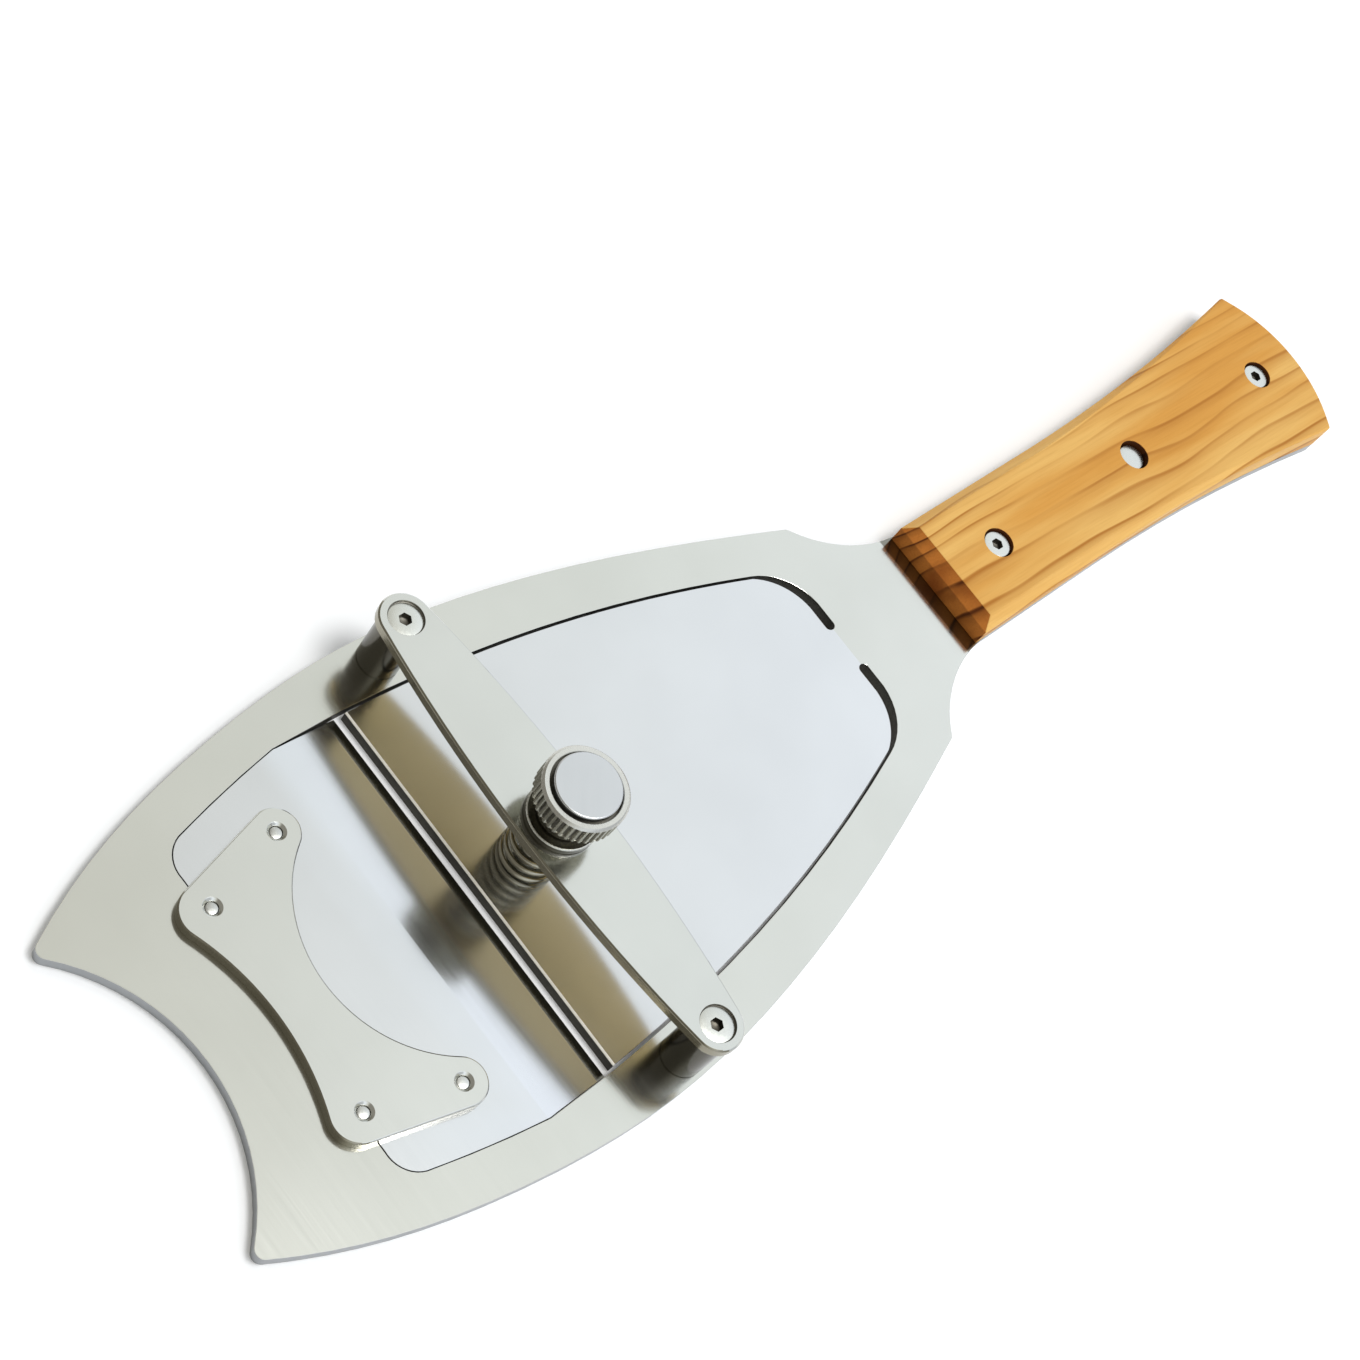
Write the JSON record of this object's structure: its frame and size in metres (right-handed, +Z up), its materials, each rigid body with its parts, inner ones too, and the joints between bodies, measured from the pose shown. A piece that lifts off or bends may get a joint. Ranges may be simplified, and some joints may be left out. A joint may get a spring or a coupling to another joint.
{
  "type": "truffle slicer",
  "caption": "Handheld adjustable truffle slicer: flat steel frame with a sprung tongue, a clamped blade, a thumb-nut adjuster on a raised bridge and a wooden handle scale.",
  "frame": {"origin": "middle of the length and width, on the flat underside that the food slides along", "axes": "+X along the length towards the handle's butt, +Y across to the right of a person holding the handle, +Z up on the side with the thumb nut"},
  "size_m": [0.28, 0.0858, 0.027],
  "materials": {
    "satin_steel": "satin, warm grey",
    "polished_steel": "fine satin, cool grey",
    "blade_steel": "finely ground",
    "turned_steel": "turned, semi-bright",
    "screw_steel": "bright",
    "spring_steel": "drawn wire, bright",
    "olive_wood": "oiled, sanded smooth"
  },
  "bodies": {
    "frame": {"frame_plate": "satin_steel", "blade": "blade_steel", "clamp_plate": "satin_steel", "rivet_front_left": "turned_steel", "rivet_front_right": "turned_steel", "rivet_rear_left": "turned_steel", "rivet_rear_right": "turned_steel", "bridge": "satin_steel", "standoff_left": "turned_steel", "standoff_right": "turned_steel", "bridge_screw_left": "screw_steel", "bridge_screw_right": "screw_steel", "coil_spring": "spring_steel", "nut_washer": "turned_steel", "handle_scale": "olive_wood", "handle_screw_front": "screw_steel", "handle_screw_rear": "screw_steel", "handle_pin": "screw_steel"},
    "tongue": {"tongue": "polished_steel", "adjust_stud": "turned_steel"},
    "thumb_nut": {"thumb_nut": "turned_steel", "nut_cap": "turned_steel"}
  },
  "joints": [
    {"name": "tongue_flex", "type": "hinge", "parent": "frame", "child": "tongue", "pos_m": [0.0091, 0, 0.00115], "axis": [0, 1, 0], "range_deg": [0, 1.6], "deforming": ["coil_spring"]},
    {"name": "thumb_nut_turn", "type": "hinge", "parent": "frame", "child": "thumb_nut", "pos_m": [-0.0666, 0, 0.0213], "axis": [0, 0, 1], "range_deg": [-1080, 0]}
  ],
  "couplings": [
    {"joint": "tongue_flex", "follows": "thumb_nut_turn", "ratio": -0.0014717}
  ]
}
